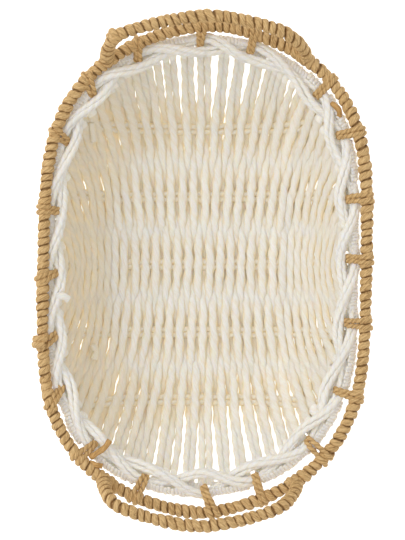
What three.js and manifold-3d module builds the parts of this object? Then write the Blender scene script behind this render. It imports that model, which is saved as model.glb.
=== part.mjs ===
// Oval bread basket: a white paper-cord bowl, woven from lengthwise strands over crosswise cords,
// tied into a steel wire rim that is wound with brown kraft paper cord and carries two raised handles.
//
// Frame: millimetres, +Z up, +Y along the length, +X across the width. The origin is on the surface
// that the basket stands on, under the middle of the rim.

import * as THREE from "three";
import { mergeVertices } from "three/addons/utils/BufferGeometryUtils.js";
import Module from "manifold-3d";

const wasm = await Module();
wasm.setup();

// ---------------------------------------------------------------- driving dimensions

// Ovals are superellipses with one power for the width and one for the length: long nearly straight
// sides and round ends. RIM is the centreline of the rim's wire and BODY that of the woven border.
const RIM = { halfWidth: 117.8, halfLength: 177.6, widthPower: 1.6, lengthPower: 4.0, z: 66 };
const BODY = { halfWidth: 107.4, halfLength: 160.4, widthPower: 1.95, lengthPower: 3.35, z: 59.5 };
const LEAN = 0.017; // the hand-made oval leans sideways by this share of its length
const BODY_SHIFT = { x: -2.6, y: 3.7 }; // the bowl is tied in a little off the rim's middle

const WIRE_R = 2.0; // steel wire of the rim and the handles
const BORE_R = 2.9; // corners of the eight-sided bore through a winding
const WRAP_R = 4.4; // outside of the kraft cord winding
const LASHING_R = 5.0; // outside of the thicker winding over a handle's foot
const LASHING_LENGTH = 13;
const POST_R = 3.5; // opening on top of a lashing, where the handle's wire goes in
const FIT = 0.3; // gap between neighbouring solids

const HANDLE_RISE = 34; // height of a handle's wire above the rim's wire
// The hand-bent handles, end by end: where the two feet stand to the side, how long each bend down to
// a foot is, how far the handle's middle stands outside the rim, and how much further near each foot.
const HANDLES = {
  rear: { end: 1, feet: [-73.5, 71.5], bends: [11, 24], flare: 1.5, swell: [5.5, 3.0] },
  front: { end: -1, feet: [-70.5, 70], bends: [14, 19], flare: 4.2, swell: [2.8, 2.8] },
};

const STRIP_COUNT = 15; // each strip is four or five strands lying side by side
const STRIP_T = 3.4;
const STRIP_GAP = 0.5;
const CROSS_PITCH = 52; // from one pair of crosswise cords to the next
const CROSS_PAIRS = 5;
const CROSS_R = 2.1;
const WEAVE_CLEARANCE = 0.85;
const WEAVE_OFFSET = CROSS_R + WEAVE_CLEARANCE + STRIP_T / 2; // strip middle to weave middle
const FLOOR_Z = WEAVE_OFFSET + STRIP_T / 2; // middle of the weave in the flat base

const BASE_SHARE = 0.62; // the base is flat out to this share of the border oval
const WALL_POWER = 1.7; // how the wall steepens towards the border
const WEAVE_TOP = 0.972; // strips and crosswise cords end at this share of the border oval

const BORDER_R = 2.5; // one cord of the two-cord border
// Half the distance between the border's two cords, a little less on the -X side and more on the +X.
const BORDER_TWIST = { across: 4.5, lopsided: 0.4, up: 2.9 };
const TIE_T = 1.6;
const TIE_WIDTH = 6.4;
// Where the hand-made ties stand, in degrees round the bowl from +Y towards +X.
const TIE_ANGLES = [
  -1, 12, 33.5, 46.5, 66, 88, 112, 133, 148.5, 165, 178, 194, 210, 227, 243, 266, 290, 312.5, 327.5,
  342.5,
];

const KRAFT = { color: 0xbb9a6b, roughness: 0.85, metalness: 0 };
const WHITE = { color: 0xece2d2, roughness: 0.9, metalness: 0 };
const STEEL = { color: 0x8a8d90, roughness: 0.45, metalness: 1 };

// ---------------------------------------------------------------- the two ovals and the bowl

/** How far an oval's edge is from its middle at an angle from +Y towards +X (Newton's method). */
function ovalRadius({ halfWidth, halfLength, widthPower, lengthPower }, angle) {
  const sideways = Math.abs(Math.sin(angle) / halfWidth) ** widthPower;
  const lengthwise = Math.abs(Math.cos(angle) / halfLength) ** lengthPower;
  let radius = halfWidth + halfLength;
  for (let i = 0; i < 16; i++) {
    const x = sideways * radius ** widthPower;
    const y = lengthwise * radius ** lengthPower;
    radius -= ((x + y - 1) * radius) / (widthPower * x + lengthPower * y);
  }
  return radius;
}

/** The point of an oval at an angle from +Y towards +X. */
function ovalPoint(shape, angle) {
  const radius = ovalRadius(shape, angle);
  return new THREE.Vector2(radius * Math.sin(angle), radius * Math.cos(angle));
}

/** How far along its length an oval reaches at a distance to the side. */
function ovalReach({ halfWidth, halfLength, widthPower, lengthPower }, sideways) {
  return halfLength * (1 - Math.abs(sideways / halfWidth) ** widthPower) ** (1 / lengthPower);
}

/** Leans a point with its length and moves it by the bowl's shift, if it belongs to the bowl. */
function placed(x, y, z, shift = { x: 0, y: 0 }) {
  return new THREE.Vector3(x + LEAN * y + shift.x, y + shift.y, z);
}

/** Part of the rim's centreline between two angles. */
class RimCurve extends THREE.Curve {
  constructor(from, to) {
    super();
    this.from = from;
    this.to = to;
  }
  getPoint(t) {
    const p = ovalPoint(RIM, this.from + (this.to - this.from) * t);
    return placed(p.x, p.y, RIM.z);
  }
}

/** The middle surface of the weave above a point of the bowl's own plan. */
function bowlHeight(x, y) {
  const share = Math.hypot(x, y) / ovalRadius(BODY, Math.atan2(x, y));
  const up = Math.max(0, (share - BASE_SHARE) / (1 - BASE_SHARE));
  return FLOOR_Z + (BODY.z - FLOOR_Z) * up ** WALL_POWER;
}

/** A point at a distance from the weave's middle surface, along its upward normal. */
function weavePoint(x, y, offset) {
  const step = 0.2;
  const normal = new THREE.Vector3(
    bowlHeight(x - step, y) - bowlHeight(x + step, y),
    bowlHeight(x, y - step) - bowlHeight(x, y + step),
    2 * step,
  ).normalize();
  const p = new THREE.Vector3(x, y, bowlHeight(x, y)).addScaledVector(normal, offset);
  return placed(p.x, p.y, p.z, BODY_SHIFT);
}

/** Where the strands cross the middle of the basket, evenly spaced along the bowl's section. */
class MiddleSection extends THREE.Curve {
  getPoint(t) {
    const x = BODY.halfWidth * WEAVE_TOP * t;
    return new THREE.Vector3(x, 0, bowlHeight(x, 0));
  }
}

/** Where the strands meet the border, evenly spaced from the end of the oval to its side. */
class BorderQuarter extends THREE.Curve {
  getPoint(t) {
    const p = ovalPoint(BODY, (t * Math.PI) / 2).multiplyScalar(WEAVE_TOP);
    return new THREE.Vector3(p.x, p.y, 0);
  }
}

const middleSection = new MiddleSection();
const borderQuarter = new BorderQuarter();

/**
 * A point of the fan of strands. across runs from -1 to 1 over the basket's width, and along from
 * -1 to 1 over a strand's length. Strands are closest on the base, and fan out to the border, where
 * they are closer round the ends than along the sides.
 */
function fanPoint(across, along) {
  const share = Math.abs(across);
  const middle = middleSection.getPointAt(share * (0.93 + 0.07 * share ** 2)).x;
  const end = borderQuarter.getPointAt(share - 0.55 * share ** 2 * (1 - share));
  const x = middle + (end.x - middle) * along * along;
  return new THREE.Vector2(Math.sign(across) * x, end.y * along);
}

/** From -1 to 1: below or above the crosswise cords. It relaxes to 0 past the outermost pair. */
function weaveWave(y) {
  const last = (CROSS_PITCH * (CROSS_PAIRS - 1)) / 2;
  const past = Math.max(0, Math.abs(y) - last);
  const turn = past > 0 ? Math.min(past, CROSS_PITCH / 2) : Math.abs(y);
  const flattened = 1.25 * Math.cos((Math.PI * turn) / CROSS_PITCH);
  return THREE.MathUtils.clamp(flattened, -1, 1);
}

// ---------------------------------------------------------------- shapes and solids

const root = new THREE.Group();

function addMesh(name, geometry, finish) {
  const mesh = new THREE.Mesh(geometry, new THREE.MeshStandardMaterial(finish));
  mesh.name = name;
  root.add(mesh);
  return mesh;
}

function circleShape(radius, holeRadius = 0) {
  const shape = new THREE.Shape().absarc(0, 0, radius, 0, 2 * Math.PI);
  if (holeRadius) {
    shape.holes.push(new THREE.Path().absarc(0, 0, holeRadius, 0, 2 * Math.PI));
  }
  return shape;
}

/** A round bar or, with a hole, an open-ended sleeve along a curve. */
function swept(curve, steps, radius, holeRadius = 0, halfSides = 4) {
  return new THREE.ExtrudeGeometry(circleShape(radius, holeRadius), {
    steps,
    curveSegments: halfSides,
    extrudePath: curve,
  });
}

function solidOf(geometry) {
  const bare = geometry.clone();
  bare.deleteAttribute("normal");
  bare.deleteAttribute("uv");
  const merged = mergeVertices(bare, 1e-3);
  return new wasm.Manifold(
    new wasm.Mesh({
      numProp: 3,
      vertProperties: new Float32Array(merged.attributes.position.array),
      triVerts: new Uint32Array(merged.index.array),
    }),
  );
}

function geometryOf(solid) {
  const mesh = solid.getMesh();
  const geometry = new THREE.BufferGeometry();
  geometry.setAttribute("position", new THREE.BufferAttribute(mesh.vertProperties, 3));
  geometry.setIndex(new THREE.BufferAttribute(mesh.triVerts, 1));
  geometry.computeVertexNormals();
  return geometry;
}

// ---------------------------------------------------------------- steel rim and handles

/** The angle of the rim's centreline at a foot: this far to the side, at the +Y or the -Y end. */
function footAngle(sideways, end) {
  return Math.atan2(sideways, end * ovalReach(RIM, sideways));
}

/** A handle's wire: up from its -X foot, over the rim's end, and down to its +X foot. */
class HandleCurve extends THREE.Curve {
  constructor(handle, footZ) {
    super();
    this.handle = handle;
    this.footTilt = Math.asin((footZ - RIM.z) / HANDLE_RISE);
  }
  getPoint(t) {
    const { end, feet, bends, flare, swell } = this.handle;
    const bendShare = 0.15;
    const foot = t < 0.5 ? 0 : 1;
    const inward = foot === 0 ? 1 : -1;
    const fromFoot = foot === 0 ? t : 1 - t;
    const tilt = THREE.MathUtils.lerp(this.footTilt, Math.PI / 2, Math.min(1, fromFoot / bendShare));
    const tops = [feet[0] + bends[0], feet[1] - bends[1]];
    const overTop = Math.max(0, (t - bendShare) / (1 - 2 * bendShare));
    const along = THREE.MathUtils.lerp(tops[0], tops[1], Math.min(1, overTop));
    const sideways = along - inward * bends[foot] * Math.cos(tilt);
    const outward = Math.sin(tilt) * (flare + swell[foot] * (sideways / 60) ** 2);
    const y = end * (ovalReach(RIM, sideways) + outward);
    return placed(sideways, y, RIM.z + HANDLE_RISE * Math.sin(tilt));
  }
}

function addRimWire() {
  const ring = new RimCurve(0, 2 * Math.PI);
  addMesh("rim_wire", new THREE.TubeGeometry(ring, 96, WIRE_R, 6, true), STEEL);
}

/** The kraft cord winding on the rim, in four lengths between the handles' feet. */
function addRimWraps() {
  const clear = (LASHING_LENGTH / 2 + FIT) * 1.03;
  const past = (foot, end, distance) => {
    const angle = footAngle(foot, end);
    return angle + distance / ovalPoint(RIM, angle).length();
  };
  const rearLeft = HANDLES.rear.feet[0];
  const rearRight = HANDLES.rear.feet[1];
  const frontLeft = HANDLES.front.feet[0];
  const frontRight = HANDLES.front.feet[1];
  const lengths = [
    ["rear", past(rearLeft, 1, clear), past(rearRight, 1, -clear), 14],
    ["right", past(rearRight, 1, clear), past(frontRight, -1, -clear), 30],
    ["front", past(frontRight, -1, clear), past(frontLeft, -1, -clear) + 2 * Math.PI, 14],
    ["left", past(frontLeft, -1, clear) + 2 * Math.PI, past(rearLeft, 1, -clear) + 2 * Math.PI, 30],
  ];
  for (const [side, from, to, steps] of lengths) {
    const geometry = swept(new RimCurve(from, to), steps, WRAP_R, BORE_R);
    addMesh(`rim_wrap_${side}`, geometry, KRAFT);
  }
}

/** Wire and winding of both handles. */
function addHandles() {
  for (const [side, handle] of Object.entries(HANDLES)) {
    const wire = new HandleCurve(handle, RIM.z + WIRE_R + 2 * FIT);
    const wrap = new HandleCurve(handle, RIM.z + LASHING_R + 3 * FIT);
    addMesh(`handle_wire_${side}`, swept(wire, 30, WIRE_R, 0, 3), STEEL);
    addMesh(`handle_wrap_${side}`, swept(wrap, 28, WRAP_R, BORE_R), KRAFT);
  }
}

/** The thicker winding round the rim at a handle's foot, open on top where the foot goes in. */
function lashingGeometry(angle) {
  const foot = ovalPoint(RIM, angle);
  const halfAngle = LASHING_LENGTH / 2 / foot.length();
  const path = new RimCurve(angle - halfAngle, angle + halfAngle);
  const sleeve = solidOf(swept(path, 3, LASHING_R, BORE_R));
  const at = placed(foot.x, foot.y, RIM.z);
  const post = new THREE.CylinderGeometry(POST_R, POST_R, 4 * WIRE_R, 8);
  post.rotateX(Math.PI / 2);
  post.translate(at.x, at.y, RIM.z + 3 * WIRE_R);
  return geometryOf(sleeve.subtract(solidOf(post)));
}

function addLashings() {
  for (const [side, { end, feet }] of Object.entries(HANDLES)) {
    const [left, right] = feet;
    addMesh(`handle_lashing_${side}_left`, lashingGeometry(footAngle(left, end)), KRAFT);
    addMesh(`handle_lashing_${side}_right`, lashingGeometry(footAngle(right, end)), KRAFT);
  }
}

// ---------------------------------------------------------------- woven bowl

/**
 * How far along each column every row of a strip lies. Rows are close together where the strip
 * bends round the crosswise cords, and past the last full row each column runs on to its own end.
 */
function stripRows(ends) {
  const shared = [0];
  for (let pair = 0; pair < CROSS_PAIRS; pair++) {
    for (const past of [6, 16, 26, 36, 46]) {
      shared.push(pair * CROSS_PITCH + past);
    }
  }
  const full = shared.filter((y) => y < Math.max(1, Math.min(...ends) - 3));
  const reached = full.at(-1);
  const extra = Math.ceil((Math.max(...ends) - reached) / 7);
  const ahead = full.map((y) => ends.map((end) => y / end));
  for (let i = 1; i <= extra; i++) {
    ahead.push(ends.map((end) => THREE.MathUtils.lerp(reached / end, 1, i / extra)));
  }
  const behind = ahead.slice(1).map((row) => row.map((along) => -along));
  return [...behind.reverse(), ...ahead];
}

/** Joins a grid of points, two per column for the lower and the upper face, into one closed solid. */
function slabGeometry(grid) {
  const columns = grid[0].length / 2;
  const last = columns - 1;
  const steps = grid.length - 1;
  const below = (row, column) => (row * columns + column) * 2;
  const above = (row, column) => below(row, column) + 1;
  const faces = [];
  const quad = (a, b, c, d) => faces.push(a, b, c, a, c, d);
  for (let i = 0; i < steps; i++) {
    for (let c = 0; c < last; c++) {
      quad(above(i, c), above(i, c + 1), above(i + 1, c + 1), above(i + 1, c));
      quad(below(i, c), below(i + 1, c), below(i + 1, c + 1), below(i, c + 1));
    }
    quad(below(i, 0), above(i, 0), above(i + 1, 0), below(i + 1, 0));
    quad(below(i, last), below(i + 1, last), above(i + 1, last), above(i, last));
  }
  for (let c = 0; c < last; c++) {
    quad(below(0, c), below(0, c + 1), above(0, c + 1), above(0, c));
    quad(below(steps, c), above(steps, c), above(steps, c + 1), below(steps, c + 1));
  }
  const geometry = new THREE.BufferGeometry().setFromPoints(grid.flat());
  geometry.setIndex(faces);
  geometry.computeVertexNormals();
  return geometry;
}

/** One strip of the weave, from the border at one end over the base to the border at the other. */
function stripGeometry(index) {
  const width = 2 / STRIP_COUNT;
  const inset = STRIP_GAP / 2 / middleSection.getLength();
  const left = Math.max(index * width - width / 2 + inset, -0.985);
  const right = Math.min(index * width + width / 2 - inset, 0.985);
  const columns = [left, (left + right) / 2, right];
  const ends = columns.map((across) => fanPoint(across, 1).y);
  const side = index % 2 === 0 ? -1 : 1;

  const grid = stripRows(ends).map((row) =>
    row.flatMap((along, c) => {
      const p = fanPoint(columns[c], along);
      const offset = side * WEAVE_OFFSET * weaveWave(p.y);
      return [
        weavePoint(p.x, p.y, offset - STRIP_T / 2),
        weavePoint(p.x, p.y, offset + STRIP_T / 2),
      ];
    }),
  );
  return slabGeometry(grid);
}

function addStrips() {
  const half = (STRIP_COUNT - 1) / 2;
  for (let index = -half; index <= half; index++) {
    const number = String(index + half + 1).padStart(2, "0");
    addMesh(`weave_strip_${number}`, stripGeometry(index), WHITE);
  }
}

/** A crosswise cord, up one side wall, over the base and up the other, at one place in Y. */
class CrossCurve extends THREE.Curve {
  constructor(y) {
    super();
    this.y = y;
    const share = Math.abs(y / (BODY.halfLength * WEAVE_TOP)) ** BODY.lengthPower;
    this.reach = BODY.halfWidth * WEAVE_TOP * (1 - share) ** (1 / BODY.widthPower);
  }
  getPoint(t) {
    const x = this.reach * (2 * t - 1);
    return weavePoint(x, this.y, 0);
  }
}

function addCrossCords() {
  for (let pair = 0; pair < CROSS_PAIRS; pair++) {
    const y = (pair - (CROSS_PAIRS - 1) / 2) * CROSS_PITCH;
    for (const [letter, side] of [["a", -1], ["b", 1]]) {
      const curve = new CrossCurve(y + side * (CROSS_R + FIT / 2));
      const geometry = swept(curve, 18, CROSS_R, 0, 3);
      addMesh(`cross_cord_${pair + 1}${letter}`, geometry, WHITE);
    }
  }
}

// ---------------------------------------------------------------- border and ties

/** The middle of the border, all the way round from the +Y end towards +X. */
class BorderCurve extends THREE.Curve {
  getPoint(t) {
    const p = ovalPoint(BODY, 2 * Math.PI * t);
    return placed(p.x, p.y, BODY.z, BODY_SHIFT);
  }
}

const border = new BorderCurve();

/** The border's middle and its outward direction at an angle in degrees. */
function borderAt(angle) {
  const share = THREE.MathUtils.euclideanModulo(angle / 360, 1);
  const middle = border.getPoint(share);
  const tangent = border.getTangent(share);
  const outward = new THREE.Vector3(-tangent.y, tangent.x, 0).normalize();
  return { middle, outward };
}

/** How far the outer cord of the border stands out from the border's middle at a tie. */
function cordOffset(angle) {
  return BORDER_TWIST.across + BORDER_TWIST.lopsided * Math.sin(THREE.MathUtils.degToRad(angle));
}

/** How many ties there are before an angle, with the part of the way to the next one. */
function tiesBefore(angle) {
  const stops = [...TIE_ANGLES, TIE_ANGLES[0] + 360];
  const next = stops.findIndex((stop) => stop > angle);
  const from = stops[next - 1];
  return next - 1 + (angle - from) / (stops[next] - from);
}

/** One cord of the border. The two lie side by side at each tie and cross between ties. */
class BorderCord extends THREE.Curve {
  constructor(phase) {
    super();
    this.phase = phase;
  }
  getPoint(t) {
    const angle = TIE_ANGLES[0] + 360 * (t % 1);
    const { middle, outward } = borderAt(angle);
    const turn = Math.PI * tiesBefore(angle) + this.phase;
    middle.addScaledVector(outward, cordOffset(angle) * Math.cos(turn));
    middle.z += BORDER_TWIST.up * Math.sin(turn);
    return middle;
  }
}

function addBorderCords() {
  for (const [letter, phase] of [["a", 0], ["b", Math.PI]]) {
    const geometry = new THREE.TubeGeometry(new BorderCord(phase), 100, BORDER_R, 5, true);
    addMesh(`border_cord_${letter}`, geometry, WHITE);
  }
}

/** The closed outline of a belt round two circles, the smaller one at the origin. */
function beltPath(path, apart, smallRadius, largeRadius) {
  const lift = Math.acos((smallRadius - largeRadius) / apart);
  path.absarc(0, 0, smallRadius, lift, 2 * Math.PI - lift, false);
  path.absarc(apart, 0, largeRadius, -lift, lift, false);
  path.closePath();
  return path;
}

/** A belt of kraft cord round the rim and the outer cord of the border. */
function addTie(number) {
  const angle = TIE_ANGLES[number - 1];
  const { middle, outward } = borderAt(angle);
  const cord = middle.clone().addScaledVector(outward, cordOffset(angle));
  const rimPoint = nearestRimPoint(cord, outward);
  const apart = rimPoint.distanceTo(cord);
  const small = BORDER_R + 1.0;
  const large = WRAP_R + 0.5;
  const shape = beltPath(new THREE.Shape(), apart, small + TIE_T, large + TIE_T);
  shape.holes.push(beltPath(new THREE.Path(), apart, small, large));
  const geometry = new THREE.ExtrudeGeometry(shape, {
    depth: TIE_WIDTH,
    steps: 1,
    curveSegments: 3,
    bevelEnabled: false,
  });
  geometry.translate(0, 0, -TIE_WIDTH / 2);

  const along = rimPoint.clone().sub(cord).normalize();
  const across = new THREE.Vector3(along.y, -along.x, 0).normalize();
  const up = new THREE.Vector3().crossVectors(across, along);
  const mesh = addMesh(`rim_tie_${String(number).padStart(2, "0")}`, geometry, KRAFT);
  mesh.quaternion.setFromRotationMatrix(new THREE.Matrix4().makeBasis(along, up, across));
  mesh.position.copy(cord);
}

/** Where a line out from the border meets the rim's centreline. */
function nearestRimPoint(from, outward) {
  const inRim = (distance) => {
    const x = from.x + outward.x * distance;
    const y = from.y + outward.y * distance;
    const upright = x - LEAN * y;
    return Math.hypot(upright, y) < ovalRadius(RIM, Math.atan2(upright, y));
  };
  let near = 0;
  let far = 60;
  for (let i = 0; i < 40; i++) {
    const middle = (near + far) / 2;
    if (inRim(middle)) {
      near = middle;
    } else {
      far = middle;
    }
  }
  return new THREE.Vector3(from.x + outward.x * near, from.y + outward.y * near, RIM.z);
}

// ---------------------------------------------------------------- the basket

addRimWire();
addRimWraps();
addHandles();
addLashings();
addStrips();
addCrossCords();
addBorderCords();
for (let number = 1; number <= TIE_ANGLES.length; number++) {
  addTie(number);
}

export default root;
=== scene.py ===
"""Oval bread basket of white twisted paper cord in a kraft-wound wire rim, on a pale studio floor.

Shapes are worked out in millimetres in the row's frame and written to Blender in metres.
"""

import math

import bpy
import numpy as np
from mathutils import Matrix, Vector


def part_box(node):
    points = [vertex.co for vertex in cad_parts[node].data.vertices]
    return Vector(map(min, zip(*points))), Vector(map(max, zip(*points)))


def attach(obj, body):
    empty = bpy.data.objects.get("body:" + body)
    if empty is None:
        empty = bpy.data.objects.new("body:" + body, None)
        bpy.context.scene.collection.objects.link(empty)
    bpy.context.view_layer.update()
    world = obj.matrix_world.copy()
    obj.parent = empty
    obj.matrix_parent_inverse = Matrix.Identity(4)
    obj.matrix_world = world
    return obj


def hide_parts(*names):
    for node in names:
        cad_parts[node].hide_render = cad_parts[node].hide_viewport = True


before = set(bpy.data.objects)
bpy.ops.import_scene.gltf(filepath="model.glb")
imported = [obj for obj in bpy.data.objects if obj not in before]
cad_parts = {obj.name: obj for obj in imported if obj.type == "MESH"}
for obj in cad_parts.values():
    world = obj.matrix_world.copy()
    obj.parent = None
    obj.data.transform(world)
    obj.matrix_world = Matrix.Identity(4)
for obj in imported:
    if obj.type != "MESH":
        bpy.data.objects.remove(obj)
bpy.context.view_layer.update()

rng = np.random.default_rng(20)
TAU = 2 * math.pi


# ---------------------------------------------------------------- measures shared with the CAD


def box_mm(node):
    """A CAD node's box as its low and high corners."""
    low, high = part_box(node)
    return np.array(low) * 1000, np.array(high) * 1000


WIRE_LOW, WIRE_HIGH = box_mm("rim_wire")
WIRE_R = (WIRE_HIGH[2] - WIRE_LOW[2]) / 2
RIM_Z = (WIRE_HIGH[2] + WIRE_LOW[2]) / 2
HANDLE_TOP = box_mm("handle_wire_rear")[1][2] - WIRE_R

# Ovals are superellipses with one power for the width and one for the length. BODY is the bowl's border.
RIM = {"half_width": 117.8, "half_length": 177.6, "width_power": 1.6, "length_power": 4.0}
BODY = {"half_width": 107.4, "half_length": 160.4, "width_power": 1.95, "length_power": 3.35}
LEAN = 0.017  # how far everything leans towards +X for each millimetre towards +Y
SHIFT = np.array([-2.6, 3.7])  # how far the bowl hangs off the rim's middle
BORDER_Z = 59.5
FLOOR_Z = 4.45  # the middle of the weave where the bowl is flat
BASE_SHARE = 0.62  # the flat base, as a share of the way out to the border
WALL_POWER = 1.7  # how sharply the wall turns up from the base
WEAVE_TOP = 0.972  # where the strands reach the border, as a share of the way out
CROSS_PITCH = 52.0  # from one pair of crosswise cords to the next
CROSS_PAIRS = 5
STRIPS = 15  # CAD nodes that stand for the strands
CLOSE_GAP = 12  # a tie is short, and its loop small, where the border is nearer to the rim than this
WIDE_GAP = 14  # the strands' ends stand out further where the border is further from the rim than this
# Each handle: its end, its feet, the bends down to them, how far it stands outside the rim, and how much
# further towards its -X and +X corners.
HANDLES = {
    "rear": {"end": 1, "feet": (-73.5, 71.5), "bends": (11, 24), "flare": 1.5, "swell": (5.5, 3.0)},
    "front": {"end": -1, "feet": (-70.5, 70.0), "bends": (14, 19), "flare": 4.2, "swell": (2.8, 2.8)},
}
# Where the ties stand, in degrees round the bowl from +Y towards +X.
TIE_ANGLES = [-1, 12, 33.5, 46.5, 66, 88, 112, 133, 148.5, 165, 178, 194, 210, 227, 243, 266, 290,
              312.5, 327.5, 342.5]


# ---------------------------------------------------------------- curves of the basket


def unit(v):
    """Vectors scaled to a length of 1."""
    return v / np.linalg.norm(v, axis=-1, keepdims=True)


def oval_radius(shape, angle):
    """How far an oval's edge is from its middle at angles from +Y towards +X (Newton's method)."""
    across = np.abs(np.sin(angle) / shape["half_width"]) ** shape["width_power"]
    along = np.abs(np.cos(angle) / shape["half_length"]) ** shape["length_power"]
    radius = np.full_like(across, shape["half_width"] + shape["half_length"])
    for _ in range(16):
        x = across * radius ** shape["width_power"]
        y = along * radius ** shape["length_power"]
        radius = radius - (x + y - 1) * radius / (shape["width_power"] * x + shape["length_power"] * y)
    return radius


def oval(shape, angle):
    """Points of an oval at angles from +Y towards +X."""
    angle = np.asarray(angle, float)
    radius = oval_radius(shape, angle)
    return np.stack([radius * np.sin(angle), radius * np.cos(angle)], axis=-1)


def oval_reach(shape, sideways):
    """How far along its length an oval reaches at a distance to the side."""
    short = 1 - np.abs(sideways / shape["half_width"]) ** shape["width_power"]
    return shape["half_length"] * short ** (1 / shape["length_power"])


def oval_share(shape, x, y):
    """How far out a point is, as a share of the way from the middle to the oval's edge."""
    return np.hypot(x, y) / oval_radius(shape, np.arctan2(x, y))


def placed(x, y, z, shift=(0.0, 0.0)):
    """Leans a point sideways with its length and moves it by the bowl's shift."""
    x, y, z = np.broadcast_arrays(x, y, z)
    return np.stack([x + LEAN * y + shift[0], y + shift[1], z], axis=-1)


class Path:
    """A polyline that can be read at any distance along it."""

    def __init__(self, points, closed=False):
        self.closed = closed
        self.points = np.vstack([points, points[:1]]) if closed else points
        steps = np.linalg.norm(np.diff(self.points, axis=0), axis=1)
        self.at = np.concatenate([[0], np.cumsum(steps)])
        self.length = self.at[-1]

    def point(self, s):
        s = np.mod(s, self.length) if self.closed else np.clip(s, 0, self.length)
        return np.stack([np.interp(s, self.at, self.points[:, k]) for k in range(3)], axis=-1)

    def tangent(self, s):
        return unit(self.point(np.asarray(s) + 1.0) - self.point(np.asarray(s) - 1.0))


def closed_oval(shape, z, shift=(0.0, 0.0)):
    """The oval as a path from its +Y end towards +X and all the way round."""
    p = oval(shape, np.linspace(0, TAU, 2401)[:-1])
    return Path(placed(p[:, 0], p[:, 1], z, shift), closed=True)


rim = closed_oval(RIM, RIM_Z)
border = closed_oval(BODY, BORDER_Z, SHIFT)


def distance_at(path, degrees):
    """Distance along a closed oval's path at an angle from its start."""
    return np.interp(np.mod(degrees, 360), np.linspace(0, 360, len(path.at)), path.at)


TIE_AT = distance_at(border, np.array(TIE_ANGLES))


def ties_before(s):
    """How many ties there are before a distance along the border, with the part to the next one."""
    stops = np.concatenate([TIE_AT[:1] - border.length, TIE_AT[1:], TIE_AT[:1]])
    return np.interp(s, stops, np.arange(len(stops)))


def cord_offset(angle):
    """How far the border's outer cord stands out at a tie: less where the bowl is tied in tight."""
    return 4.5 + 0.4 * np.sin(np.radians(angle))


def outward(path, s):
    """The level direction out of a closed path that runs clockwise from above."""
    t = path.tangent(s)
    return unit(np.stack([-t[..., 1], t[..., 0], 0 * t[..., 0]], axis=-1))


def bowl_height(x, y):
    """The middle of the weave: flat to BASE_SHARE of the way out, then rising to the border."""
    up = np.clip((oval_share(BODY, x, y) - BASE_SHARE) / (1 - BASE_SHARE), 0, None)
    return FLOOR_Z + (BORDER_Z - FLOOR_Z) * up**WALL_POWER


def bowl_normal(x, y):
    """The direction out of the weave's upper face."""
    d = 0.2
    slope_x = bowl_height(x - d, y) - bowl_height(x + d, y)
    slope_y = bowl_height(x, y - d) - bowl_height(x, y + d)
    return unit(np.stack([slope_x, slope_y, np.full_like(slope_x, 2 * d)], axis=-1))


def wander(s, wavelength, amount):
    """A smooth irregular drift along a length."""
    p = rng.uniform(0, TAU, 3)
    w = TAU * s / wavelength
    waves = np.sin(w + p[0]) + 0.6 * np.sin(1.63 * w + p[1]) + 0.4 * np.sin(2.7 * w + p[2])
    return amount * waves / 1.3


# ---------------------------------------------------------------- cords as meshes


UP = np.array([0.0, 0.0, 1.0])
CAP_BULGE = 0.35  # how far the middle of a cut end stands out
CAP_SHADE = 0.6


def flank(phi, power=3):
    """How far round to a cord's sides a point of its section is, from 0 to 1."""
    return np.abs(np.cos(phi)) ** power


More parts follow.
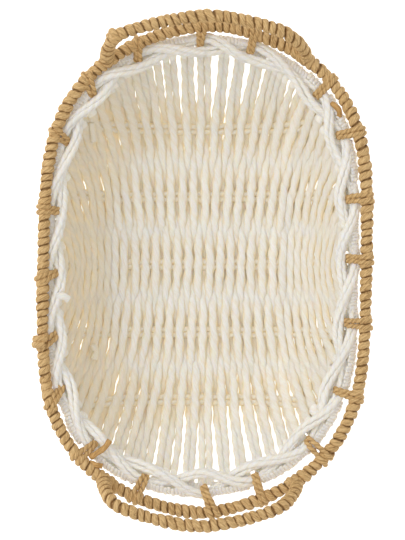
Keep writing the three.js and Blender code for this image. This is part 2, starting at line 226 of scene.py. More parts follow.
class Cords:
    """Collects swept cords and makes them into one mesh object.

    Each point carries cord (its place across and along its own cord), deep (how much painted shade it gets)
    and tone (how its cord differs from the others; on white cord a high tone also paints light), which the
    materials read.
    """

    def __init__(self):
        self.verts, self.quads, self.tris = [], [], []
        self.cord, self.deep, self.tone = [], [], []
        self.count = 0

    def add(self, path, normal, width, thick, twist=30.0, lobe=0.1, lobes=2, sides=14,
            closed=False, deep=None, tone=None, groove=0.0):
        """Sweeps a cord. normal is the direction of its thickness, and twist the length of one turn.

        deep gives the shade from the angle round the section, and groove is how much deeper the creases
        between the cord's plies are shaded. lobe is how far the plies stand out, and lobes their number.
        """
        n = len(path)
        ahead = np.roll(path, -1, 0) - np.roll(path, 1, 0) if closed else np.gradient(path, axis=0)
        t = unit(ahead)
        up = unit(normal - np.sum(normal * t, axis=1, keepdims=True) * t)
        side = np.cross(t, up)
        steps = np.linalg.norm(np.diff(path, axis=0), axis=1)
        dist = np.concatenate([[0], np.cumsum(steps)])
        if closed:
            whole = dist[-1] + np.linalg.norm(path[0] - path[-1])
            twist = whole / max(1, round(whole / twist))
        uneven = 0 if closed else wander(dist, 2.6 * twist, 0.45)
        turn = (rng.uniform(0, TAU) + TAU * dist / twist + uneven)[:, None]
        phi = np.linspace(0, TAU, sides, endpoint=False)[None, :]
        r = 1 + lobe * np.cos(lobes * (phi - turn))
        x = np.broadcast_to(width, n)[:, None] / 2 * r * np.cos(phi)
        y = np.broadcast_to(thick, n)[:, None] / 2 * r * np.sin(phi)
        ring = path[:, None] + side[:, None] * x[..., None] + up[:, None] * y[..., None]
        along = np.broadcast_to(dist[:, None], x.shape)
        untwisted = x * np.cos(turn) + y * np.sin(turn), y * np.cos(turn) - x * np.sin(turn)
        local = np.stack([*untwisted, along], -1)
        shade = np.zeros(x.shape) if deep is None else deep(phi)
        shade = shade + groove * np.clip(-np.cos(lobes * (phi - turn)), 0, 1) ** 2
        hue = np.broadcast_to(rng.normal() if tone is None else tone, n)

        self.verts.append(ring.reshape(-1, 3))
        self.cord.append(local.reshape(-1, 3))
        self.deep.append(np.broadcast_to(shade, x.shape).reshape(-1))
        self.tone.append(np.repeat(hue, sides))
        index = self.count + np.arange(n * sides).reshape(n, sides)
        after = np.roll(index, -1, axis=0) if closed else index[1:]
        before = index if closed else index[:-1]
        faces = [before, np.roll(before, -1, 1), np.roll(after, -1, 1), after]
        self.quads.append(np.stack(faces, -1).reshape(-1, 4))
        self.count += n * sides
        if not closed:
            self.cap(path[0] - t[0] * CAP_BULGE, index[0][::-1], local[0], hue[0])
            self.cap(path[-1] + t[-1] * CAP_BULGE, index[-1], local[-1], hue[-1])

    def cap(self, centre, ring, local, hue):
        """Closes a cut end with a fan of triangles from its last ring to a point."""
        self.verts.append(centre[None])
        self.cord.append(local.mean(axis=0)[None])
        self.deep.append(np.array([CAP_SHADE]))
        self.tone.append(np.array([hue]))
        fan = np.stack([ring, np.roll(ring, -1), np.full(len(ring), self.count)], -1)
        self.tris.append(fan)
        self.count += 1

    def build(self, name, material):
        """Makes one mesh object, in metres, of all the cords added so far."""
        verts = np.concatenate(self.verts) / 1000
        quads = np.concatenate(self.quads)
        tris = np.concatenate(self.tris) if self.tris else np.zeros((0, 3), int)
        mesh = bpy.data.meshes.new(name)
        mesh.vertices.add(len(verts))
        mesh.vertices.foreach_set("co", verts.astype(np.float32).ravel())
        loops = np.concatenate([quads.ravel(), tris.ravel()]).astype(np.int32)
        mesh.loops.add(len(loops))
        mesh.loops.foreach_set("vertex_index", loops)
        starts = np.concatenate([np.arange(len(quads)) * 4, 4 * len(quads) + np.arange(len(tris)) * 3])
        mesh.polygons.add(len(starts))
        mesh.polygons.foreach_set("loop_start", starts.astype(np.int32))
        mesh.update(calc_edges=True)
        mesh.validate()
        mesh.shade_smooth()
        cord = mesh.attributes.new("cord", "FLOAT_VECTOR", "POINT")
        cord.data.foreach_set("vector", np.concatenate(self.cord).astype(np.float32).ravel())
        for label, values in (("deep", self.deep), ("tone", self.tone)):
            attribute = mesh.attributes.new(label, "FLOAT", "POINT")
            attribute.data.foreach_set("value", np.concatenate(values).astype(np.float32))
        mesh.materials.append(material)
        obj = bpy.data.objects.new(name, mesh)
        bpy.context.scene.collection.objects.link(obj)
        return obj


def finish_piece(obj, slot, *nodes):
    """Says which body a piece rides on and the CAD nodes that it stands for. slot, the piece's material
    slot, is not used.
    """
    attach(obj, "root")
    if nodes:
        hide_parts(*nodes)


# ---------------------------------------------------------------- materials


class Nodes:
    """Short names for building a node material."""

    def __init__(self, name):
        self.material = bpy.data.materials.new(name)
        self.material.use_nodes = True
        self.tree = self.material.node_tree
        self.shader = self.tree.nodes["Principled BSDF"]

    def new(self, kind, **values):
        node = self.tree.nodes.new(kind)
        for key, value in values.items():
            if key in node.inputs:
                self.put(node.inputs[key], value)
            else:
                setattr(node, key, value)
        return node

    def put(self, socket, value):
        if isinstance(value, bpy.types.NodeSocket):
            self.tree.links.new(value, socket)
        else:
            socket.default_value = value

    def attribute(self, name, output):
        return self.new("ShaderNodeAttribute", attribute_name=name).outputs[output]

    def math(self, operation, a, b=0.0):
        node = self.new("ShaderNodeMath", operation=operation)
        self.put(node.inputs[0], a)
        self.put(node.inputs[1], b)
        return node.outputs[0]

    def stretch(self, vector, scale):
        node = self.new("ShaderNodeVectorMath", operation="MULTIPLY")
        self.put(node.inputs[0], vector)
        self.put(node.inputs[1], scale)
        return node.outputs[0]

    def noise(self, vector, scale, detail=3.0, roughness=0.55):
        node = self.new("ShaderNodeTexNoise", Vector=vector, Scale=scale, Detail=detail, Roughness=roughness)
        return node.outputs["Fac"]

    def ramp(self, value, low, high):
        node = self.new("ShaderNodeMapRange")
        self.put(node.inputs["Value"], value)
        self.put(node.inputs["From Min"], low)
        self.put(node.inputs["From Max"], high)
        return node.outputs["Result"]

    def mix(self, amount, a, b):
        node = self.new("ShaderNodeMix", data_type="RGBA")
        self.put(node.inputs["Factor"], amount)
        self.put(node.inputs[6], a)
        self.put(node.inputs[7], b)
        return node.outputs[2]

    def bump(self, height, strength, distance):
        node = self.new("ShaderNodeBump", Height=height, Strength=strength, Distance=distance)
        self.put(self.shader.inputs["Normal"], node.outputs["Normal"])


def colour(r, g, b):
    """An sRGB colour of 0 to 255 as the linear values that a shader takes."""
    linear = [c / 255 / 12.92 if c <= 10 else ((c / 255 + 0.055) / 1.055) ** 2.4 for c in (r, g, b)]
    return (*linear, 1.0)


def white_cord():
    """Cream paper yarn: pale, with a warmer tan painted on as shade deep between the cords and on the walls.

    A faint warm glow deep between cords, and a faint white one mostly on the border and the strands' ends,
    bring the colours near the photo's. They are not a property of the cord.
    """
    n = Nodes("white_paper_cord")
    cord = n.attribute("cord", "Vector")
    fibre = n.noise(n.stretch(cord, (1.0, 1.0, 0.08)), 1.15, 5.0, 0.7)
    patch = n.noise(n.stretch(cord, (0.3, 0.3, 0.06)), 0.7, 2.0)
    deep = n.math("MINIMUM", n.attribute("deep", "Fac"), 1.0)
    # High tone marks the border, the fringe and the strands' tails, painted a little whiter and given a
    # faint white glow: painted light.
    painted_light = n.ramp(n.attribute("tone", "Fac"), 0.2, 1.8)
    streak = n.math("MULTIPLY", n.ramp(fibre, 0.45, 0.68), 0.5)
    yarn = n.mix(painted_light, colour(246, 245, 241), colour(250, 249, 246))
    streaked = n.mix(streak, yarn, colour(228, 214, 190))
    # Painted shade: a warmer tan mixed in where deep is high.
    body = n.mix(n.math("MULTIPLY", deep, 0.7), streaked, colour(236, 211, 162))
    toned = n.mix(n.math("MULTIPLY", n.ramp(patch, 0.45, 0.75), 0.2), body, colour(235, 224, 202))
    n.put(n.shader.inputs["Base Color"], toned)
    # Painted light: a faint warm glow where deep is high.
    crease_glow = n.math("MULTIPLY", n.ramp(deep, 0.6, 1.05), 0.15)
    glow = n.math("ADD", crease_glow, n.math("MULTIPLY", painted_light, 0.07))
    n.put(n.shader.inputs["Emission Color"], n.mix(painted_light, colour(255, 238, 190), colour(255, 252, 246)))
    n.put(n.shader.inputs["Emission Strength"], glow)
    n.put(n.shader.inputs["Subsurface Weight"], 0.5)
    n.put(n.shader.inputs["Subsurface Radius"], (1.0, 0.85, 0.55))
    n.put(n.shader.inputs["Subsurface Scale"], 0.004)
    n.put(n.shader.inputs["Roughness"], 0.85)
    n.put(n.shader.inputs["Specular IOR Level"], 0.2)
    n.put(n.shader.inputs["Sheen Weight"], 0.15)
    n.bump(fibre, 0.8, 0.0008)
    return n.material


def kraft_cord(name, body, dark, light):
    """Brown twisted kraft paper: creases run round the cord with its twist."""
    n = Nodes(name)
    cord = n.attribute("cord", "Vector")
    crease = n.noise(n.stretch(cord, (1.0, 1.0, 0.10)), 1.5, 4.0, 0.6)
    fibre = n.noise(n.stretch(cord, (1.0, 1.0, 0.25)), 5.0, 2.0)
    tone = n.ramp(n.attribute("tone", "Fac"), -2.0, 2.0)
    deep = n.attribute("deep", "Fac")
    # The crease noise also gives the bump's height, so the colour darkens in the creases and pales on the
    # ridges: partly the paper's own colour, partly painted shade and painted highlight.
    first = n.mix(n.ramp(crease, 0.30, 0.52), dark, body)
    second = n.mix(n.math("MULTIPLY", n.ramp(crease, 0.5, 0.75), 0.7), first, light)
    third = n.mix(n.math("MULTIPLY", tone, 0.25), second, light)
    # Painted shade: darker where deep is high, at the turns' edges, on the lining and in the plies' grooves.
    last = n.mix(n.math("MULTIPLY", n.math("MINIMUM", deep, 1.0), 0.85), third, dark)
    n.put(n.shader.inputs["Base Color"], last)
    n.put(n.shader.inputs["Roughness"], 0.72)
    n.put(n.shader.inputs["Specular IOR Level"], 0.3)
    height = n.math("ADD", crease, n.math("MULTIPLY", fibre, 0.25))
    n.bump(height, 0.6, 0.0008)
    return n.material


WHITE = white_cord()
KRAFT = kraft_cord(
    "kraft_paper_cord", body=colour(219, 181, 123), dark=colour(132, 90, 42), light=colour(244, 214, 164))
KRAFT_END = kraft_cord(
    "kraft_cord_end", body=colour(206, 162, 100), dark=colour(156, 112, 58), light=colour(222, 182, 124))


# ---------------------------------------------------------------- woven bowl


def even_lookup(points):
    """Turns a share of a curve's length into a point on the curve."""
    path = Path(np.column_stack([points, np.zeros(len(points))]))
    return lambda share: path.point(np.asarray(share) * path.length)[..., :2]


span = BODY["half_width"] * WEAVE_TOP * np.linspace(0, 1, 800)
middle_section = even_lookup(np.stack([span, bowl_height(span, 0 * span)], -1))
border_quarter = even_lookup(oval(BODY, np.linspace(0, math.pi / 2, 1200)) * WEAVE_TOP)


def weave_wave(y):
    """From -1 to 1 under and over the crosswise cords, easing to 0 past the outermost pair."""
    last = 2 * CROSS_PITCH
    past = np.clip(np.abs(y) - last, 0, CROSS_PITCH / 2)
    turn = np.where(past > 0, past, np.abs(y))
    return np.clip(1.1 * np.cos(math.pi * turn / CROSS_PITCH), -1, 1)


def gap_to_rim(point, out):
    """How far the rim's centreline is from the border, along the way out."""
    reach = np.linspace(2, 50, 500)[:, None]
    p = point[None, :2] + out[None, :2] * reach
    share = oval_share(RIM, p[:, 0] - LEAN * p[:, 1], p[:, 1])
    return float(reach[np.argmax(share > 1), 0])


def fringe_reach(room):
    """How far the folded ends stand out from the border's middle, given the gap to the rim."""
    return min(9.6, room - 5.5) if room > WIDE_GAP else 7.2


CUT_ENDS = 0.12  # the share of strands with a cut end that shows, where there is room


def strand_end(start):
    """The last stretch of a strand: under the border, and now and then out to a cut end."""
    s = border.at[np.argmin(np.linalg.norm(border.points - start, axis=1))]
    out = outward(border, s)
    home = border.point(s)
    knots = [start, home - 1.0 * out + [0, 0, -6.0], home + 2.5 * out + [0, 0, -6.4]]
    room = gap_to_rim(home, out)
    if room > WIDE_GAP and rng.random() < CUT_ENDS:
        reach = rng.uniform(0.95, 1.15) * fringe_reach(room)
        knots.append(home + reach * out + [0, 0, rng.uniform(-3, 0)])
    return np.array(knots)


TIE_CLEARANCE = 4.2  # no folded ends are nearer to the middle of a tie than this


def add_fringe():
    """The strands' ends, split into their plies and folded up round the border's edge side by side."""
    cords = Cords()
    s = 0.0
    half = border.length / 2
    while s < border.length:
        s += rng.uniform(2.1, 2.9)
        to_tie = np.abs(np.mod(s - TIE_AT + half, border.length) - half).min()
        if to_tie < TIE_CLEARANCE:
            continue
        out = outward(border, s)
        along = border.tangent(s)
        home = border.point(s)
        room = gap_to_rim(home, out)
        reach = fringe_reach(room) * rng.uniform(0.94, 1.05)
        low = 0.75 if room > WIDE_GAP else 0.35
        path = np.array([(1.0, -5.0, 0.0), (0.6 * reach, -4.8, 0.3), (reach, -1.8, 0.9),
                         (reach - 1.0, low * 2.6, 1.5), (reach - 4.6, low * 4.6, 2.2)])
        ply = rounded(home + path[:, :1] * out + path[:, 2:] * along + path[:, 1:2] * UP, 22)
        normal = np.cross(along, np.gradient(ply, axis=0))
        # tone 1.5 paints the folded ends brighter, with a faint glow: painted light. deep paints shade on
        # their flanks.
        cords.add(ply, normal, rng.uniform(2.7, 3.4), 2.3, twist=9, lobe=0.1, sides=10, tone=1.5,
                  deep=lambda phi: 0.35 * flank(phi))
    finish_piece(cords.build("border_fringe", WHITE), "white_cord")


def rounded(knots, count):
    """A smooth curve through a few points (Catmull-Rom)."""
    k = np.vstack([2 * knots[0] - knots[1], knots, 2 * knots[-1] - knots[-2]])
    t = np.linspace(0, len(knots) - 1, count)
    i = np.minimum(t.astype(int), len(knots) - 2)
    u = (t - i)[:, None]
    a, b, c, d = k[i], k[i + 1], k[i + 2], k[i + 3]
    square = (2 * a - 5 * b + 4 * c - d) * u**2
    cube = (3 * b - a - 3 * c + d) * u**3
    return 0.5 * (2 * b + (c - a) * u + square + cube)


def strand_positions():
    """Each strand's strip and its share across the basket: the strips up the side walls hold more."""
    for strip in range(1, STRIPS + 1):
        count = 4 if 5 <= strip <= 11 else 5
        for k in range(count):
            yield strip, 2 * (strip - 1 + (k + 0.5) / count) / STRIPS - 1


def fan_x(across, y):
    """Where a strand is to the side, and how far along it ends, at a share across the basket."""
    share = abs(across)
    middle = middle_section(share * (0.93 + 0.07 * share**2))[0]
    end_x, end_y = border_quarter(share - 0.55 * share**2 * (1 - share))
    return math.copysign(1, across) * (middle + (end_x - middle) * (y / end_y) ** 2), end_y


PAIR_OFFSET = 1.4  # how far neighbours lean together where strands gather in pairs at the ends
NEXT = 0.03  # a small step in the share across, to measure how far apart strands lie
STRIP_SHARE = 0.133  # about the share across that one strip takes up


def strand_path(number, across):
    """Points, thickness directions, weave height and distance to the next strand of one strand."""
    end_y = fan_x(across, 0.0)[1]
    y = np.linspace(-end_y, end_y, max(12, int(2 * end_y / 1.5)))
    exact = fan_x(across, y)[0]
    normal = bowl_normal(exact, y)
    beside = np.abs(exact - fan_x(across - math.copysign(NEXT, across), y)[0])
    strands_in_strip = 4 if abs(across) < 0.46 else 5
    shrink = (STRIP_SHARE / NEXT) / strands_in_strip
    spacing = beside * shrink / np.clip(np.hypot(normal[:, 1], normal[:, 2]), 0.3, 1)
    pair = PAIR_OFFSET if number % 2 else -PAIR_OFFSET
    rear = rng.normal(0, 0.6) + pair * float(np.clip(1.4 - abs(across - 0.17) / 0.24, 0, 1))
    gathered = float(np.clip(1.4 - abs(across - 0.2) / 0.24, 0, 1))
    front = rng.normal(0, 1.3 - 0.6 * gathered) - pair * gathered
    stray = np.interp(y, [-end_y, -70, 80, end_y], [front, 0, 0, rear])
    x = exact + wander(y, 75, 0.45) + rng.normal(0, 0.2) + stray
    wave = (1 if number % 2 else -1) * weave_wave(y)
    drift = (1.35 + 0.75 * np.abs(normal[:, 2])) * wave + wander(y, 60, 0.15)
    centre = np.stack([x, y, bowl_height(x, y)], -1) + normal * drift[:, None]
    return placed(centre[:, 0], centre[:, 1], centre[:, 2], SHIFT), normal, wave, spacing


def add_strand(number, strip, across):
    """One lengthwise strand, with tails that dive under the border at both ends."""
    body, normal, wave, spacing = strand_path(number, across)
    tails = []
    for start, inner in ((body[0], body[4]), (body[-1], body[-5])):
        knots = np.vstack([inner, strand_end(start)])
        tails.append(rounded(knots, 9 * len(knots))[9:])
    before, after = len(tails[0]), len(tails[1])

    def padded(values):
        """Values along the body, held at their first and last over the tails."""
        ends = np.repeat(values[:1], before, 0), np.repeat(values[-1:], after, 0)
        return np.concatenate([ends[0], values[1:-1], ends[1]])

    path = np.vstack([tails[0][::-1], body[1:-1], tails[1]])
    lone = padded(wave)
    lone[:before] = lone[len(lone) - after:] = 0
    free = np.clip((np.abs(path[:, 1] - SHIFT[1]) - 106) / 22, 0, 1)
    full_from = np.where(path[:, 1] > 0, 0.12 if across < 0 else 0.45, 0.40)
    fill = np.clip((abs(across) - full_from) / 0.22, 0, 1)
    woven = np.clip(1.27 * padded(spacing), 6.5, 8.2) - 0.4 * (1 - np.abs(lone)) * (1 - fill)
    slim = np.where((path[:, 1] > 0) | (across > -0.1), 5.2, 5.9)
    loose = slim + fill * (np.clip(1.16 * padded(spacing), 5.0, 8.0) - slim)
    width = woven + (loose - woven) * free + wander(path[:, 1], 33, 0.25)
    width[:before] = np.linspace(7.2, width[before], before)
    width[len(width) - after:] = np.linspace(width[len(width) - after - 1], 7.2, after)
    thick = 3.8 + wander(path[:, 1], 41, 0.12)
    inside = np.ones(len(path))
    inside[:before] = inside[len(inside) - after:] = 0.2

    # Shade: between neighbours, on the walls (most where they face +X), and where a strand passes below.
    below = 0.3 * np.clip(-lone, 0, 1)[:, None]
    facing = padded(normal)[:, :1]
    steep = 0.18 * np.abs(facing) + 0.5 * np.clip(facing, 0, 1)

    def deep(phi):
        between = np.clip((flank(phi, 1) - 0.5) / 0.5, 0, 1) ** 1.3
        shade = np.maximum(0.85 * between * (1 - 0.4 * free[:, None]), steep)
        return (shade + below) * inside[:, None]

    cords = Cords()
    # tone is random along the body; on the tails it is high, which paints them brighter: painted light.
    cords.add(path, padded(normal), width, thick, twist=rng.uniform(20, 32), lobe=0.12, sides=18,
              deep=deep, groove=0.18, tone=1.7 - 1.7 * inside + rng.normal(0, 0.4))
    strand = cords.build(f"strand_{number + 1:02d}", WHITE)
    finish_piece(strand, "white_cord", f"weave_strip_{strip:02d}")


CROSS_HALF_GAP = 2.15  # from the middle of a pair of crosswise cords to each cord
CROSS_REACH = 0.99  # where the crosswise cords end, as a share of the way out to the border


def add_cross_cord(pair, letter, side):
    """One cord of a pair that runs across the bowl. side is -1 for the nearer to -Y and 1 for the other."""
    y0 = (pair - CROSS_PAIRS // 2) * CROSS_PITCH + side * CROSS_HALF_GAP
    share = abs(y0 / (BODY["half_length"] * CROSS_REACH)) ** BODY["length_power"]
    reach = BODY["half_width"] * CROSS_REACH * (1 - share) ** (1 / BODY["width_power"])
    x = np.linspace(-reach, reach, 130)
    y = y0 + wander(x, 60, 0.25)
    path = placed(x, y, bowl_height(x, y), SHIFT)
    cords = Cords()
    cords.add(path, bowl_normal(x, y), 4.5, 4.0, twist=11, lobe=0.13, sides=16, groove=0.4,
              deep=lambda phi: 0.45 + 0.45 * flank(phi))
    cord = cords.build(f"cross_cord_{pair + 1}{letter}_yarn", WHITE)
    finish_piece(cord, "white_cord", f"cross_cord_{pair + 1}{letter}")


# ---------------------------------------------------------------- border


BORDER_ROLLS = 8  # how often a border strand's three cords twist round each other in all
BORDER_WAVES = 11  # how often they draw together and apart in all


def add_border(letter, phase):
    """One of the border's two strands, itself three two-ply cords twisted loosely together."""
    s = np.arange(0, border.length, 1.6)
    turn = math.pi * ties_before(s) + phase
    out = outward(border, s)
    degrees = 360 * s / border.length
    apart_more = 0.55 * np.exp(-(((degrees - 180) / 9) ** 2))
    across = cord_offset(degrees) * np.cos(turn) * (1.15 + apart_more)
    core = border.point(s) + out * across[:, None] + UP * (2.7 * np.sin(turn) + 0.6)[:, None]
    cords = Cords()
    for k in range(3):
        round_way = TAU * s / border.length
        roll = BORDER_ROLLS * round_way + k * TAU / 3
        apart = 2.0 + 0.25 * np.sin(BORDER_WAVES * round_way + k)
        level = out * (1.15 * apart * np.cos(roll))[:, None]
        offset = level + UP * (0.75 * apart * np.sin(roll))[:, None]
        # tone 1.6 paints the border brighter, with a faint glow: painted light.
        cords.add(core + offset, unit(offset), 4.6, 3.6, twist=12, lobe=0.13, sides=18, closed=True,
                  tone=1.6, groove=0.4)
    strand = cords.build(f"border_strand_{letter}", WHITE)
    finish_piece(strand, "white_cord", f"border_cord_{letter}")


# ---------------------------------------------------------------- kraft windings


STEPS_PER_TURN = 26
CORD_THICK = 3.3  # the thickness of a winding's cord
PITCH_SPREAD = (0.84, 1.16)  # how uneven the turns are, as shares of the mean pitch


def winding(cords, path, start, end, pitch, radius, up_hint=None, spin=-1):
    """A kraft cord wound round a path from one distance along it to another.

    radius is the distance from the path to the middle of the cord, or a function of the distance along.
    up_hint gives a direction across the path, for paths that don't lie level.
    """
    turns = max(2, int(round((end - start) / pitch)))
    pitches = pitch * rng.uniform(*PITCH_SPREAD, turns)
    marks = start + np.concatenate([[0], np.cumsum(pitches)]) * (end - start) / pitches.sum()
    whole = np.arange(turns + 1)
    turn = np.linspace(0, turns, turns * STEPS_PER_TURN + 1)
    s = np.interp(turn, whole, marks)
    angle = spin * TAU * turn
    t = path.tangent(s)
    if up_hint is None:
        out = outward(path, s)
        up = np.broadcast_to(UP, out.shape)
    else:
        out = unit(np.cross(t, up_hint(s)))
        up = np.cross(out, t)
    tilt = np.interp(turn, whole, rng.normal(0, 0.6, turns + 1))
    swell = np.interp(turn, whole, rng.normal(0, 0.26, turns + 1))
    tone = np.interp(turn, whole, rng.normal(0, 1, turns + 1))
    spread = radius(s) if callable(radius) else radius
    radial = out * np.cos(angle)[:, None] + up * np.sin(angle)[:, None]
    centre = path.point(s + tilt * np.sin(angle)) + radial * (spread + 0.5 * swell)[:, None]
    local_pitch = np.interp(turn, whole[:-1] + 0.5, pitches * (end - start) / pitches.sum())
    width = local_pitch * 0.94 + wander(turn, 0.8, 0.35)
    depth = CORD_THICK + swell + wander(turn, 0.6, 0.16)
    cords.add(centre, radial, width, depth, twist=15.0, lobe=0.05, lobes=3, sides=16, tone=tone, groove=0.2,
              deep=lambda phi: np.clip((flank(phi, 1) - 0.82) / 0.15, 0, 1))


def lining(cords, path):
    """The cord's first layer, which hides the wire where two turns stand apart."""
    s = np.linspace(0, path.length * 0.9999, int(path.length / 2.5))
    cords.add(path.point(s), np.broadcast_to(UP, (len(s), 3)), 5.2, 5.2, twist=9, lobe=0.08,
              deep=lambda phi: 0.7)


def add_rim_winding():
    cords = Cords()
    lining(cords, rim)
    winding(cords, rim, 0.0, rim.length + 1.0, pitch=5.7, radius=3.1, spin=1)
    piece = cords.build("rim_winding", KRAFT)
    quarters = [f"rim_wrap_{side}" for side in ("rear", "right", "front", "left")]
    finish_piece(piece, "kraft_cord", *quarters)


def foot_angle(sideways, end):
    """The angle of the rim's centreline at a handle's foot."""
    return math.atan2(sideways, end * float(oval_reach(RIM, sideways)))


def handle_path(end, feet, bends, flare, swell):
    """A handle from its -X foot, over the rim's end, to its +X foot."""
    tilt = np.linspace(0.03, math.pi / 2, 24)
    left = feet[0] + bends[0] * (1 - np.cos(tilt))
    right = (feet[1] - bends[1] * (1 - np.cos(tilt)))[::-1]
    top = np.linspace(left[-1], right[0], 50)[1:-1]
    sideways = np.concatenate([left, top, right])
    up = np.concatenate([np.sin(tilt), np.ones(len(top)), np.sin(tilt)[::-1]])
    more = np.where(sideways < (left[-1] + right[0]) / 2, *swell)
    y = oval_reach(RIM, sideways) + up * (flare + more * (sideways / 60) ** 2)
    return Path(placed(sideways, end * y, RIM_Z + (HANDLE_TOP - RIM_Z) * up))


def add_handle(side, fatter_for):
    """fatter_for is how far along from the -X foot the winding is built up thicker."""
    path = handle_path(**HANDLES[side])

    def lengthwise(s):
        return np.broadcast_to([0.0, HANDLES[side]["end"], 0.3], (len(s), 3))

    def radius(s):
        return 3.0 + np.clip(1.4 - 1.4 * s / fatter_for, 0, 1)

    cords = Cords()
    lining(cords, path)
    winding(cords, path, 0.0, path.length, pitch=5.8, radius=radius, up_hint=lengthwise)
    piece = cords.build(f"handle_winding_{side}", KRAFT)
    finish_piece(piece, "kraft_cord", f"handle_wrap_{side}")


LASHING_HALF = 7.0  # half the length of rim under a lashing


def add_lashing(place, angle):
    """The thicker winding that binds a handle's foot to the rim."""
    foot = oval(RIM, angle)
    home = placed(foot[0], foot[1], RIM_Z)
    s = rim.at[np.argmin(np.linalg.norm(rim.points - home, axis=1))]
    cords = Cords()
    winding(cords, rim, s - LASHING_HALF, s + LASHING_HALF, pitch=5.2, radius=3.7, spin=1)
    piece = cords.build(f"lashing_{place}", KRAFT)
    finish_piece(piece, "kraft_cord", f"handle_lashing_{place}")


KNOTTED_TIE = 15  # the tie on the left of the rim with the knot beside it
RIM_LOOP = 4.3  # the radius at which a tie's cord runs round the rim
# How far along the rim some ties meet it, from straight across the gap.
TIE_SLANTS = {4: 1.5, 11: -4.5, 14: -7.0, 15: -4.5, 16: -3.5, 18: 3.0, 19: 4.5, 20: 4.0}


def belt(apart, small, large, count=64):
    """Points of a belt round two circles, in the plane of the way out and up."""
    lift = math.acos((small - large) / apart)
    near = np.linspace(lift, TAU - lift, count // 2)
    far = np.linspace(-lift, lift, count // 2)
    a = np.stack([small * np.cos(near), small * np.sin(near)], -1)
    b = np.stack([apart + large * np.cos(far), large * np.sin(far)], -1)
    return np.vstack([a, b])


def add_tie(number):
    """Two turns of kraft cord from the rim round the border's outer strand.

    Where the bowl is tied in tight the cord runs on to the next turns of the rim at a slant.
    """
    s = TIE_AT[number - 1]
    out = outward(border, s)
    room = gap_to_rim(border.point(s), out)
    small, least = (3.8, 6.8) if room < CLOSE_GAP else (4.6, 8.6)
    cord = border.point(s) + min(0.35 * room, room - least) * out
    slant = TIE_SLANTS.get(number, rng.normal(0, 0.06 * room))
    far = border.point(s) + room * out + slant * border.tangent(s)
    far[2] = RIM_Z
    apart = np.linalg.norm(far - cord)
    along = (far - cord) / apart
    across = unit(np.array([along[1], -along[0], 0.0]))
    up = np.cross(across, along)
    loop = belt(apart, small, RIM_LOOP)
    shape = Path(np.column_stack([loop, np.zeros(len(loop))]), closed=True)
    near_spread = rng.uniform(0.9, 1.5)
    far_spread = near_spread + rng.uniform(0.02, 0.14) * apart
    cords = Cords()
    for k in (-1, 1):
        at = np.linspace(0, shape.length, 90, endpoint=False)
        flat = shape.point(at)
        ahead = shape.tangent(at)
        normal = np.stack([ahead[:, 1], -ahead[:, 0]], -1)
        fanned = np.interp(flat[:, 0], [-4, apart], [near_spread, far_spread])
        spread = k * fanned + wander(at, 45, 0.3)
        inset = k * rng.uniform(0, 0.6)
        path = cord + (flat[:, :1] + inset) * along + flat[:, 1:2] * up + spread[:, None] * across
        hint = normal[:, :1] * along + normal[:, 1:] * up
        cords.add(path, hint, 3.5, 3.0, twist=9.0, lobe=0.15, sides=16, closed=True, tone=-0.6,
                  groove=0.6)
    piece = cords.build(f"tie_{number:02d}", KRAFT)
    finish_piece(piece, "kraft_cord", f"rim_tie_{number:02d}")


# ---------------------------------------------------------------- loose ends and knots


# Each loose end: its name, points, width, thickness, material slot, material and shade.
OVER = RIM_Z
LOOSE_ENDS = [
    ("kraft_tail_long",
     [(-83.5, -137.5, OVER), (-78, -133.5, OVER + 3.5), (-72.5, -129.5, OVER + 4), (-69, -124.5, OVER + 3)],
     4.2, 1.6, "kraft_cord", KRAFT_END, 0.0),
    ("kraft_tail_short", [(-84, -141, OVER), (-79, -142.5, OVER + 2.5), (-74.5, -143.5, OVER + 1.5)],
     4.0, 1.8, "kraft_cord", KRAFT_END, 0.0),
    ("kraft_loop",
     [(91, 122.5, OVER - 6), (94.5, 119.5, OVER - 0.5), (98, 115.5, OVER), (98.5, 110, OVER - 5)],
     4.0, 2.4, "kraft_cord", KRAFT_END, 0.0),
    ("white_stub", [(-108, -20, OVER - 2), (-103, -19.8, OVER - 1), (-99, -22.5, OVER - 2)],
     6.0, 3.2, "white_cord", WHITE, 0.0),
    ("white_end_1", [(-84, 108, 49), (-83, 101, 45), (-82.5, 95, 42)],
     5.0, 3.8, "white_cord", WHITE, 0.4),
    ("white_end_3", [(-84, -57, 30), (-82, -62, 27), (-83.5, -68, 29)],
     5.0, 3.6, "white_cord", WHITE, 0.4),
    ("white_end_2", [(-97, 92, 52), (-95.5, 86, 49), (-94, 82, 47)],
     5.0, 3.8, "white_cord", WHITE, 0.4),
]


def add_loose_end(name, knots, width, thick, slot, material, shade):
    """A short cut end of cord that follows a few points."""
    path = rounded(np.array(knots, float), 10 * len(knots))
    cords = Cords()
    cords.add(path, np.broadcast_to(UP, path.shape), width, thick, twist=20.0, lobe=0.08, sides=12,
              deep=lambda phi: shade + 0.4 * flank(phi))
    finish_piece(cords.build(name, material), slot)


def add_knot(name, path, s, turns):
    """A hard knot where one kraft cord ends and the next begins, as short fat turns outside a winding.

    Each turn has a distance from s, the angles that it runs between, and its distance from the path.
    """
    out = outward(path, s)
    cords = Cords()
    for shift, start, stop, reach in turns:
        angle = np.linspace(start, stop, 26)
        radial = out * np.cos(angle)[:, None] + UP * np.sin(angle)[:, None]
        centre = path.point(s + shift) + radial * reach
        cords.add(centre, radial, 4.8, 3.2, twist=11, lobe=0.08, lobes=3, sides=14, groove=0.4)
    finish_piece(cords.build(name, KRAFT), "kraft_cord")


# ---------------------------------------------------------------- building it all

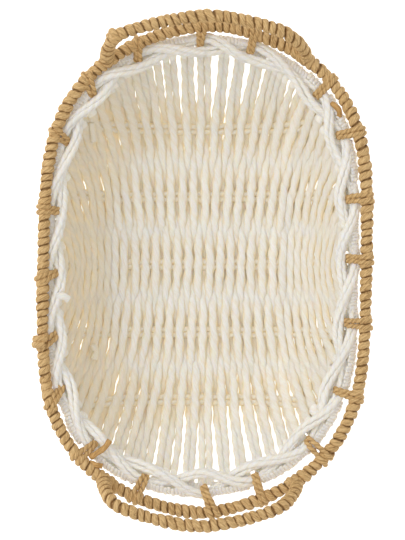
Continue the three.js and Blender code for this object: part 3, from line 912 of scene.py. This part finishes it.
for number, (strip, across) in enumerate(strand_positions()):
    add_strand(number, strip, across)
for pair in range(CROSS_PAIRS):
    add_cross_cord(pair, "a", -1)
    add_cross_cord(pair, "b", 1)
add_border("a", 0.0)
add_border("b", math.pi)
add_fringe()
add_rim_winding()
add_handle("rear", 30)
add_handle("front", 22)
for side, handle in HANDLES.items():
    for hand, sideways in zip(("left", "right"), handle["feet"]):
        add_lashing(f"{side}_{hand}", foot_angle(sideways, handle["end"]))
for number in range(1, len(TIE_ANGLES) + 1):
    add_tie(number)
side_tie = border.point(TIE_AT[KNOTTED_TIE - 1])
at_tie = rim.at[np.argmin(np.linalg.norm(rim.points - side_tie, axis=1))]
add_knot("rim_knot", rim, at_tie, [(-4.6, -1.4, 1.9, 6.6), (-0.4, -1.2, 2.2, 6.0)])
rear_handle = handle_path(**HANDLES["rear"])
corner = rear_handle.at[np.argmax(rear_handle.points[:, 2] > HANDLE_TOP - 3)]
add_knot("handle_knot", rear_handle, corner, [(-2.6, -0.6, 2.6, 4.6), (1.8, -0.4, 2.4, 5.3)])
for loose_end in LOOSE_ENDS:
    add_loose_end(*loose_end)


# ---------------------------------------------------------------- wire material, studio and camera


def wire_material():
    n = Nodes("steel_wire")
    position = n.new("ShaderNodeTexCoord").outputs["Object"]
    scratch = n.noise(n.stretch(position, (1.0, 1.0, 6.0)), 900.0)
    n.put(n.shader.inputs["Base Color"], n.mix(scratch, colour(120, 122, 124), colour(170, 172, 175)))
    n.put(n.shader.inputs["Metallic"], 1.0)
    n.put(n.shader.inputs["Roughness"], 0.4)
    n.bump(scratch, 0.2, 0.0001)
    return n.material


def dress_wires():
    steel = wire_material()
    for name in ("rim_wire", "handle_wire_rear", "handle_wire_front"):
        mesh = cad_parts[name].data
        mesh.materials.clear()
        mesh.materials.append(steel)


FLOOR_SIZE = 6
CAMERA_RISE = 1.1  # how far the camera is above the rim, in metres


def add_floor():
    """A pale floor, lit a little from within so that it renders white."""
    bpy.ops.mesh.primitive_plane_add(size=FLOOR_SIZE, location=(0, 0, 0))
    floor = bpy.context.object
    floor.name = "studio_floor"
    n = Nodes("studio_floor")
    n.put(n.shader.inputs["Base Color"], colour(250, 250, 250))
    n.put(n.shader.inputs["Roughness"], 0.9)
    n.put(n.shader.inputs["Emission Color"], (1, 1, 1, 1))
    n.put(n.shader.inputs["Emission Strength"], 0.55)
    floor.data.materials.append(n.material)


def add_light(name, size, power, location):
    """A round soft light, in metres and watts, that points at the bowl."""
    light = bpy.data.lights.new(name, "AREA")
    light.shape = "DISK"
    light.size = size
    light.energy = power
    obj = bpy.data.objects.new(name, light)
    obj.location = location
    obj.rotation_euler = (Vector((0, 0, 0.03)) - obj.location).to_track_quat("-Z", "Y").to_euler()
    bpy.context.scene.collection.objects.link(obj)


def add_sky():
    """Even soft light from all round, stronger from overhead than from the sides."""
    world = bpy.data.worlds.new("studio")
    world.use_nodes = True
    tree = world.node_tree
    up = tree.nodes.new("ShaderNodeSeparateXYZ")
    tree.links.new(tree.nodes.new("ShaderNodeTexCoord").outputs["Generated"], up.inputs[0])
    strength = tree.nodes.new("ShaderNodeMapRange")
    strength.inputs["To Min"].default_value = 0.34
    strength.inputs["To Max"].default_value = 0.98
    tree.links.new(up.outputs["Z"], strength.inputs["Value"])
    tree.links.new(strength.outputs["Result"], tree.nodes["Background"].inputs["Strength"])
    tree.nodes["Background"].inputs["Color"].default_value = (1.0, 0.985, 0.955, 1)
    bpy.context.scene.world = world


def add_studio():
    add_floor()
    add_light("key", 1.5, 9, Vector((-1.2, 0.5, 1.15)))
    add_sky()
    bpy.context.scene.view_settings.view_transform = "Standard"


def add_camera():
    """Straight above the basket, with +Y up in the picture."""
    camera = bpy.data.cameras.new("camera")
    camera.sensor_fit = "VERTICAL"
    camera.sensor_height = 36
    camera.lens = 100.6
    obj = bpy.data.objects.new("camera", camera)
    obj.location = (-0.0016, -0.0007, RIM_Z / 1000 + CAMERA_RISE)
    bpy.context.scene.collection.objects.link(obj)
    bpy.context.scene.camera = obj


dress_wires()
add_studio()
add_camera()
